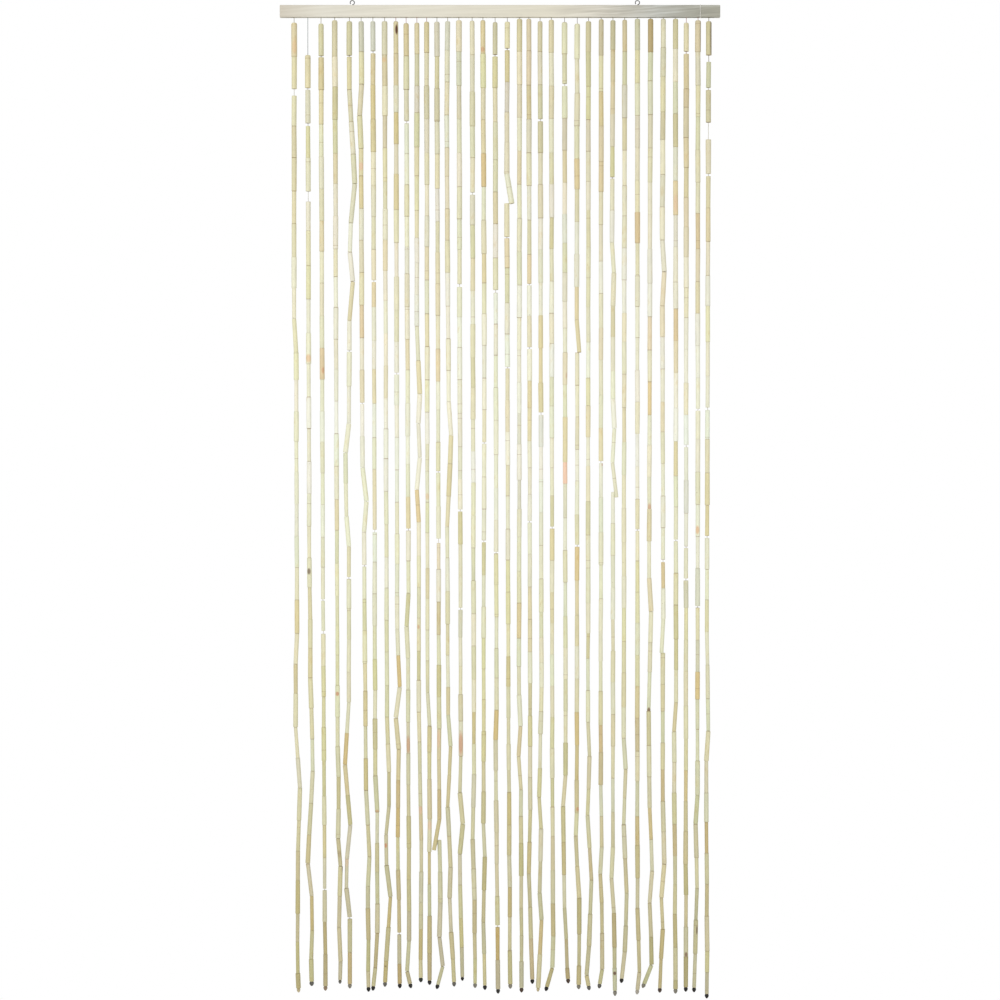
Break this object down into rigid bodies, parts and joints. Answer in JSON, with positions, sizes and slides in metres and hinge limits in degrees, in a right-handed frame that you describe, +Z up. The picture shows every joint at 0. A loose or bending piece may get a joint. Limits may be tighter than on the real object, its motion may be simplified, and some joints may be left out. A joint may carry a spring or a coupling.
{
  "type": "door curtain of bamboo tubes on a wooden rail",
  "caption": "Door curtain: strands of thin bamboo tubes on cords hang from a wooden rail with two screw eyes, each strand ending in a small seed.",
  "frame": {"origin": "middle of the rail's back face, where the rail would touch a wall or a door frame", "axes": "+X along the rail, +Z up, +Y out of the back face; the front of the curtain faces -Y"},
  "size_m": [0.9, 0.0162, 2.0416],
  "materials": {
    "whitewood": "sanded, unvarnished pale softwood",
    "bamboo": "natural cane, satin",
    "steel": "bright zinc-plated wire",
    "thread": "white twisted cord",
    "seed": "dark polished seed"
  },
  "bodies": {
    "root": {"rail": "whitewood", "strands_left": "bamboo", "strands_right": "bamboo", "eye_left": "steel", "eye_right": "steel", "tie_cord": "thread"}
  },
  "joints": []
}
